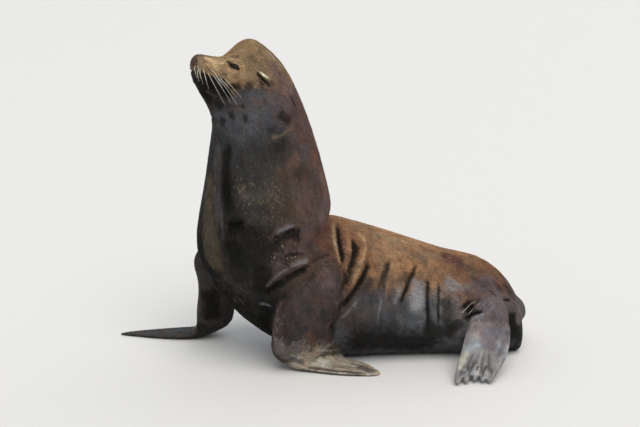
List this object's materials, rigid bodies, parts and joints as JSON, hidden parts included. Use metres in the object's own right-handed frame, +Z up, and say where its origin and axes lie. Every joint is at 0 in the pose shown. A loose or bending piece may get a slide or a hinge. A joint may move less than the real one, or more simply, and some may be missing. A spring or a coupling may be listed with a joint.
{
  "type": "sea lion",
  "caption": "Life-size still model of an adult male sea lion sitting up on its fore flippers, head raised and turned, belly and hind flippers on the floor.",
  "frame": {"origin": "on the floor, in the middle of the flat where the belly rests, on the line of the trunk", "axes": "+X from the neck back to the tail along the trunk, +Y to the animal's right, +Z up; the animal looks towards -X and a little to its left"},
  "size_m": [1.8488, 0.914, 1.3782],
  "materials": {
    "nose": "damp bare dark brown nose pad",
    "face": "short golden tan coat, darker towards the jaw",
    "neck": "short matted charcoal and red-brown coat, partly wet",
    "chest": "short matted near-black coat over loose folds, wet in bands",
    "back": "dry golden brown coat above, sleek wet blue-grey flank below",
    "rump": "short mottled brown coat",
    "tail": "sleek blue-grey coat",
    "arm": "short red-brown coat",
    "flipper": "thin cream and brown streaked fur over leathery dark grey skin",
    "ankle": "sleek mauve-grey coat",
    "hind_flipper": "damp pale grey bare skin, ridged along the toes",
    "ear": "thin furred ear flap",
    "eye": "wet dark brown eyeball",
    "claw": "dark horn"
  },
  "bodies": {
    "root": {"nose": "nose", "head": "face", "neck": "neck", "chest": "chest", "trunk": "back", "rump": "rump", "tail": "tail", "eye_left": "eye", "ear_left": "ear", "fore_arm_left": "arm", "fore_flipper_left": "flipper", "ankle_left": "ankle", "hind_flipper_left": "hind_flipper", "claw_left_1": "claw", "claw_left_2": "claw", "claw_left_3": "claw", "eye_right": "eye", "ear_right": "ear", "fore_arm_right": "arm", "fore_flipper_right": "flipper", "ankle_right": "ankle", "hind_flipper_right": "hind_flipper", "claw_right_1": "claw", "claw_right_2": "claw", "claw_right_3": "claw"}
  },
  "joints": []
}
